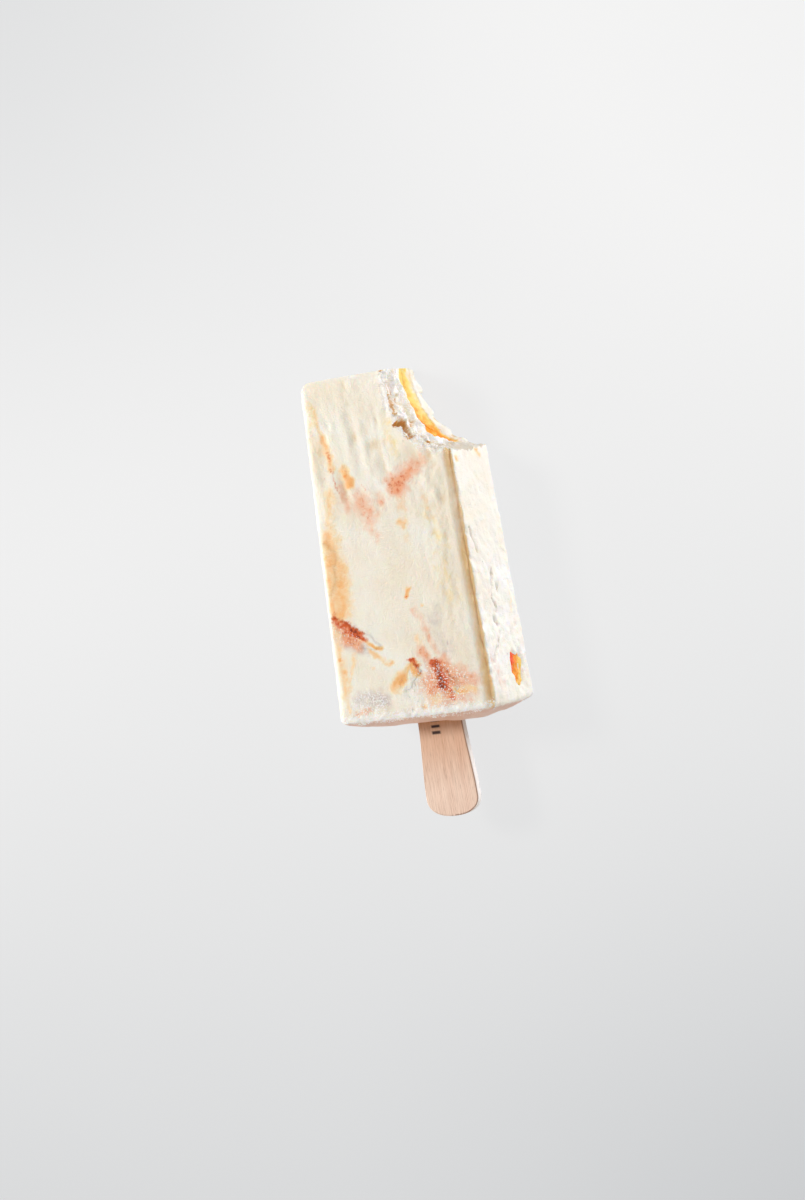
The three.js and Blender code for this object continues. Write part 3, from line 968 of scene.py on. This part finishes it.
def makeFruit(name, fruit):
    ball, faces = ballGrid(70, 120)
    lumpy = ball * (1 + 0.1 * lumps(ball * 8, 4, len(name)))[:, None]
    thin = 1 - 0.18 * lumpy[:, 1:2]  # pieces of a round fruit get thinner to one end
    shaped = lumpy * np.concatenate([thin, 1 + 0 * thin, thin], 1) * np.array(fruit["half"])
    points, turn = placeFruit(shaped, fruit)
    end = fruit["sinks"] + fruit["over"]

    def liftAt(place):
        rough = fruit["ragged"] * swell(place, 1.8, 45)
        if name == "peachChunkSide":
            shown = 1 - ramp(chunkReach(place) + rough, fruit["sinks"], end)
            torn = 0.3 * lumps(place, (1.6, 2.4, 1.3), 47)
            return -0.3 + shown * (0.3 + fruit["stands"] + torn)
        inside = (place - np.array(fruit["at"])) @ turn / np.array(fruit["half"])
        inside = np.linalg.norm(inside, axis=1)
        return -0.2 + (0.2 + fruit["stands"]) * (1 - ramp(inside + rough, fruit["sinks"], end))

    mesh = meshFrom(name, bringToSkin(points, liftAt), faces)
    outward(mesh)
    return mesh


for name, fruit in fruits.items():
    mesh = makeFruit(name, fruit)
    masks = marblingOf(pointsOf(mesh))
    masks["frost"] = frostAt(pointsOf(mesh))
    if name == "peachChunkSide":
        flat = sidePlace(pointsOf(mesh))
        toYellow = flat[:, 0] - 0.45 * (flat[:, 1] - 9)  # from its red upper corner
        amber = 1 - 0.45 * ramp(toYellow, 3.0, 6.5)
        masks = {"amber": amber, "ember": 0.85 * (1 - ramp(toYellow, 0.6, 4.2))}
    setMasks(mesh, masks)
    addPiece(name, mesh, fruit["surface"], fruit["solid"])

# the slice in the bite, a little larger than its solid so that it fills its bed
biteSlice = {"at": (1.2, 84.6, -7.0), "half": (7.8, 13.4, 2.3), "turn": (4, -8), "spare": 0.2}


def makeSlice():
    # the slice that the bite went through: an egg cut by a smoother copy of the bite's wall
    ball, faces = ballGrid(60, 90)
    uneven = ball * (np.array(biteSlice["half"]) + biteSlice["spare"])
    uneven *= (1 + 0.07 * lumps(ball * 9, 3, 46))[:, None]
    points, _ = placeFruit(uneven, biteSlice)
    egg = scratchObject("egg", meshFrom("egg", points, faces))
    outward(egg.data)
    wall = wallGrid.copy()
    for _ in range(10):
        wall[1:-1] = (wall[:-2] + wall[1:-1] + wall[2:]) / 3
        wall[:, 1:-1] = (wall[:, :-2] + wall[:, 1:-1] + wall[:, 2:]) / 3
    s, w = wallNotes["along"], wallNotes["across"]
    ripple = 0.12 * lumps(np.stack([s, w, 0 * s], 1), (3, 2, 1), 44) + 0.04
    smooth = wall.reshape(-1, 3) + np.outer(ripple, (0.9, 0.45, 0))
    return cut(egg, cuttingBody("sliceTool", smooth))


sliceMesh = makeSlice()
slicePoints = pointsOf(sliceMesh)
nearWall = [wallFaces[wallTree.find_nearest(Vector(p))[2]][0] for p in slicePoints]
alongWall, acrossWall = [wallNotes[key][nearWall] for key in ("along", "across")]
# the slice's peach colour carries painted light and shade: deeper golden and tan at the inner edge as
# painted shade, paler toward the lip as painted light, and an orange painted glow at its lower end
litTowardLip = ramp(acrossWall, 18.2, 22.4)
golden = 0.56 + 0.3 * ramp(alongWall, 4, 20) + 0.4 * bump(alongWall, 16, 21, 25)
setMasks(sliceMesh, {
    "amber": golden * (1 - 0.6 * litTowardLip),
    "ember": 0.4 * bump(alongWall, 17.5, 21, 25) * (1 - litTowardLip),
    "hollow": 0.6 * (1 - ramp(acrossWall, 15.4, 18.2)) * (1 - 0.7 * bump(alongWall, 17, 21, 25)),
})
addPiece("peachSliceBite", sliceMesh, peachFlesh, "peach_slice_bite")


def stickHalfWidth(y):
    # y from the stick's middle
    half = slat["length"] / 2
    side = half - slat["endDepth"]
    drawn = (slat["endWidth"] - slat["waist"]) / 2
    wide = slat["endWidth"] / 2 - drawn * (1 - ramp(np.abs(y), 0.45 * side, side))
    into = np.clip((np.abs(y) - side) / slat["endDepth"], 0, 0.9995)
    return wide * (1 - into ** slat["endFullness"]) ** (1 / slat["endFullness"])


# plain burnt bars where a stick is usually stamped, no letters. Starts are from the block's end.
burntBars = {"starts": (-2.3, -4.1, -5.9), "aside": -1.6, "width": 2.8, "height": 0.85, "soft": 0.12}


def makeStick():
    half = slat["length"] / 2
    lead = (1 - np.cos(np.linspace(0, 1, 18, endpoint=False) * np.pi / 2)) * slat["endDepth"]
    middle = np.linspace(-half + slat["endDepth"], half - slat["endDepth"], 340)
    y = np.concatenate([-half + lead, middle, half - lead[::-1]])
    across = np.sin(np.linspace(-1, 1, 41) * np.pi / 2)
    width = stickHalfWidth(y)
    rows, columns = len(y), len(across)
    count = rows * columns
    top = np.stack([np.outer(width, across).ravel(), np.repeat(y, columns), np.zeros(count)], 1)
    outline = np.concatenate([np.stack([width, y], 1), np.stack([-width, y], 1)])
    away = np.min(np.linalg.norm(top[:, None, :2] - outline[None], axis=2), axis=1)
    rim = np.maximum(slat["edge"] - away, 0)
    drop = slat["edge"] - np.sqrt(slat["edge"] ** 2 - rim**2)
    fibre = 0.03 * swell(top, (0.5, 9, 1), 51) + 0.02 * swell(top, (0.3, 4, 1), 52)
    thickness = slat["thickness"] / 2
    lower = top.copy()
    top[:, 2] = thickness - drop + fibre * (rim == 0)
    lower[:, 2] = -thickness + drop - fibre * (rim == 0)
    near = stripFaces(rows, columns)
    faces = np.concatenate([near[:, ::-1], near + count, rimWalls(rows, columns)])
    points = np.concatenate([top, lower])
    # painted highlight: both long edges of the stick are paler, as where light catches them
    edgeHighlight = 1 - ramp(np.tile(away, 2), 0.0, 0.16)
    # painted shade: a dark line just inside the edges, strongest on the right side
    arrisShade = bump(np.tile(away, 2), 0.06, 0.24, 0.52) * np.where(points[:, 0] > 0, 1, 0.25)
    stickMiddle = half - slat["bare"]
    fromBlock = points[:, 1] + stickMiddle
    nearest = np.min([np.abs(fromBlock - start) for start in burntBars["starts"]], axis=0)
    soft = burntBars["soft"]
    burnt = 1 - ramp(np.abs(points[:, 0] - burntBars["aside"]) - burntBars["width"] / 2, -soft, soft)
    burnt *= (1 - ramp(nearest - burntBars["height"] / 2, -soft, soft)) * (points[:, 2] > 0)
    points[:, 1] += stickMiddle
    points = points @ np.array(Matrix.Rotation(slat["lean"], 3, "Z")).T
    points[:, 0] += slat["aside"]
    mesh = meshFrom("birchStick", points, faces)
    outward(mesh)
    # darker and warmer near the ice: painted shade from the block, and some damp
    shadeAndDamp = 0.42 * ramp(fromBlock, -24, -8) + 0.58 * ramp(fromBlock, -8, 1)
    setMasks(mesh, {"burnt": burnt, "shadeAndDamp": shadeAndDamp, "edgeHighlight": edgeHighlight, "arrisShade": arrisShade})
    return mesh


# Birch veneer, sawn and tumbled smooth: pale pinkish tan with short fine fibres that show dark, matt,
# darker near the ice with painted shade from the block and some damp, with painted highlights along its
# edges and a painted shade line inside them.
birchColours = {
    "pale": "fbdfcb",
    "pink": "efc8b2",
    "dark": "9a6f52",
    "shadeAndDamp": "c07a30",
    "burnt": "32160a",
    "edgeHighlight": "fffaf2",
    "arrisShade": "7a4a2c",
}


def birchVeneer():
    material, add = newMaterial("birchVeneerSanded")
    # birch vessels are under 0.1 mm wide, too fine to show: these are drawn two to three times as wide
    broad = pattern(add, 3.0, stretch=16, low=0.3, high=0.7)
    fine = pattern(add, 0.26, stretch=26, low=0.42, high=0.72)
    dashes = pattern(add, 0.19, stretch=18, low=0.6, high=0.72)
    colour = coat(add, broad, fromHex(birchColours["pale"]), birchColours["pink"], 0.6)
    colour = coat(add, fine, colour, birchColours["dark"], 0.3)
    for name, strength in (("shadeAndDamp", 0.95), ("arrisShade", 1.0), ("edgeHighlight", 0.9), ("burnt", 1.0)):
        mask = add("Attribute", attribute_name=name).outputs["Fac"]
        colour = coat(add, mask, colour, birchColours[name], strength)
    colour = coat(add, dashes, colour, birchColours["dark"], 0.42)
    bumped = add("Bump", {"Height": fine, "Strength": 0.4, "Distance": 0.00008})
    rough = add("MapRange", {"Value": fine, "To Min": 0.5, "To Max": 0.75})
    links = {"Base Color": colour, "Roughness": rough, "IOR": 1.5, "Normal": bumped}
    add("OutputMaterial", {"Surface": add("BsdfPrincipled", links)})
    return material


addPiece("birchStick", makeStick(), birchVeneer(), "stick")

hoar = {"count": 900, "smallest": 0.07, "largest": 0.22, "stands": 0.25}  # half sizes in mm


def makeHoar():
    # loose grains, each a squashed icosahedron that stands in the cream
    rng = np.random.default_rng(7)
    points, normals = castPoints, normalsOf(blockMesh)
    x, y, z = points.T
    flatFront = ramp(z, 10, 11.2) * (1 - ramp(x, 21, 22.5))
    weight = ramp(frostAt(points), 0.6, 1.1) * flatFront * ramp(y, 1.2, 3)
    weight += 2.5 * crumbsAt(points) * flatFront
    crease = bump(turnAt(points), 58, 66, 88) * (z > 8) * (1 - ramp(y, 70, 73))
    weight += 0.6 * crease + 0.02 * ramp(x, 22, 24) * (z < 9)
    weight *= 0.35 + 0.65 * ramp(lumps(points, 3, 61), -0.2, 0.5)
    chosen = rng.choice(len(points), hoar["count"], replace=False, p=weight / weight.sum())
    golden = (1 + 5 ** 0.5) / 2
    corners = [
        corner
        for s, t in product((-1, 1), repeat=2)
        for corner in ((0, s, t * golden), (s, t * golden, 0), (t * golden, 0, s))
    ]
    corners = np.array(corners) / np.linalg.norm(corners[0])
    count = len(corners)
    close = np.linalg.norm(corners[:, None] - corners[None], axis=2) < 1.1  # an edge apart, or the same
    triples = combinations(range(count), 3)
    triangles = np.array([t for t in triples if close[np.ix_(t, t)].all()])
    a, b, c = corners[triangles].transpose(1, 0, 2)
    inside = np.einsum("ij,ij->i", a, np.cross(b, c)) < 0
    triangles[inside] = triangles[inside][:, ::-1]
    size = hoar["smallest"] + (hoar["largest"] - hoar["smallest"]) * rng.random(hoar["count"]) ** 2
    stretch = 0.65 + 0.7 * rng.random((hoar["count"], 1, 3))
    jitter = 1 + 0.3 * (rng.random((hoar["count"], count, 1)) - 0.5)
    grains = corners[None] * stretch * jitter * size[:, None, None]
    outwards = normals[chosen] @ np.array(toFrame.to_3x3())  # back from the frame to the mould
    grains += points[chosen][:, None] + (outwards * size[:, None] * hoar["stands"])[:, None]
    faces = (triangles[None] + count * np.arange(hoar["count"])[:, None, None]).reshape(-1, 3)
    return meshFrom("hoarGrains", grains.reshape(-1, 3), faces)


def hoarFrost():
    # Hoar frost, grown from damp air: white translucent grains that catch the light as sparks.
    material, add = newMaterial("hoarFrostGrown")
    coords = add("TexCoord").outputs["Object"]
    tint = add("TexNoise", {"Vector": coords, "Scale": 1000 / 3.0})
    colour = coat(add, tint, fromHex("fffdfa"), "f7ece2")
    links = {"Base Color": colour, "Roughness": 0.35, "IOR": 1.31, "Subsurface Weight": 1.0}
    links.update({"Subsurface Radius": (1, 1, 1), "Subsurface Scale": 0.00015})
    add("OutputMaterial", {"Surface": add("BsdfPrincipled", links)})
    return material


addPiece("hoarGrains", makeHoar(), hoarFrost(), None)

# Matt uncoated paper off a roll: a pale ground without shine, mostly lit by its own glow, with painted
# light that makes it brighter as it goes away. The pools are painted light and painted shade, soft
# round brighter or darker places on it: middle and reach in m, strength.
studio = {
    "floorSize": 6.0,
    "floorLitTone": "ffffff",
    "floorShadedTone": "d4d6d8",
    "floorGlow": 0.83,
    "floorPaper": 0.06,  # share of the light that the paper throws back, the rest is its own glow
    "world": 0.42,
    "pools": {
        "paintedLight": ((0.14, 0.16, 0), 0.2, 0.25),
        "paintedShadeFar": ((-0.15, 0.24, 0), 0.22, -0.42),
        "paintedShadeNear": ((0.12, -0.22, 0), 0.2, -0.3),
    },
}


def makeFloor():
    half = studio["floorSize"] / 2
    corners = [(-half, -half), (half, -half), (half, half), (-half, half)]
    points = np.array([(x, y, -0.0003) for x, y in corners])  # a hair under the lolly's back
    floor = scratchObject("floor", meshFrom("floor", points, [[0, 1, 2, 3]]))
    material, add = newMaterial("mattPaperRolled")
    coords = add("TexCoord").outputs["Object"]
    # painted light: the paper is painted brighter from the near end to the far end, and the pools add
    # painted light and shade
    climb = add("SeparateXYZ", {0: coords}).outputs[1]
    rise = {"Value": climb, "From Min": -0.28, "From Max": 0.05, "To Min": 0.12, "To Max": 0.8}
    share = add("MapRange", rise, interpolation_type="SMOOTHSTEP")
    for middle, reach, strength in studio["pools"].values():
        away = add("VectorMath", {0: coords, 1: middle}, operation="DISTANCE").outputs["Value"]
        links = {"Value": away, "From Min": reach, "From Max": 0.0, "To Max": strength}
        pool = add("MapRange", links, interpolation_type="SMOOTHSTEP")
        share = add("Math", {0: share, 1: pool}, operation="ADD")
    mottle = add("TexNoise", {"Vector": coords, "Scale": 9.0, "Detail": 1.0})
    links = {0: mottle, 1: 0.06, 2: share}
    share = add("Math", links, operation="MULTIPLY_ADD", use_clamp=True)
    colour = coat(add, share, fromHex(studio["floorShadedTone"]), studio["floorLitTone"])
    links = {0: studio["floorPaper"], 6: (0, 0, 0, 1), 7: colour}
    paper = add("Mix", links, data_type="RGBA").outputs[2]
    links = {"Base Color": paper, "Roughness": 0.9, "Emission Color": colour}
    links["Emission Strength"] = studio["floorGlow"]
    add("OutputMaterial", {"Surface": add("BsdfPrincipled", links)})
    floor.data.materials.append(material)
    floor.visible_diffuse = False
    floor.visible_shadow = False


# place from the lolly's middle in metres, size, watts, colour
lamps = {
    "fill": ((-0.54, 0.36, 0.7), 0.28, 5.7, "fffaf3"),
    "rightEdge": ((0.66, 0.38, -0.24), 0.45, 5.8, "f6f7ff"),
    "leftEdge": ((-0.75, 0.1, 0.02), 0.4, 2.8, "f8f6f8"),
    "lowEdge": ((-0.12, -0.72, 0.2), 0.3, 1.6, "fff6f0"),
}


def makeLamps():
    middle = (cadBox[0] + cadBox[1]) / 2
    for name, (offset, size, watts, tint) in lamps.items():
        light = bpy.data.lights.new(name, "AREA")
        light.shape = "DISK"
        light.size = size
        light.energy = watts
        light.color = fromHex(tint)[:3]
        lamp = scratchObject(name, light)
        lamp.location = middle + Vector(offset)
        lamp.rotation_euler = (-Vector(offset)).to_track_quat("-Z", "Y").to_euler()
        lamp.visible_camera = False


def makeWorld():
    world = bpy.data.worlds.new("studio")
    scene.world = world
    world.use_nodes = True
    sky = world.node_tree.nodes["Background"]
    sky.inputs["Color"].default_value = fromHex("f4f5f6")
    sky.inputs["Strength"].default_value = studio["world"]


makeFloor()
makeLamps()
makeWorld()
scene.view_settings.view_transform = "Standard"
print("studio set")
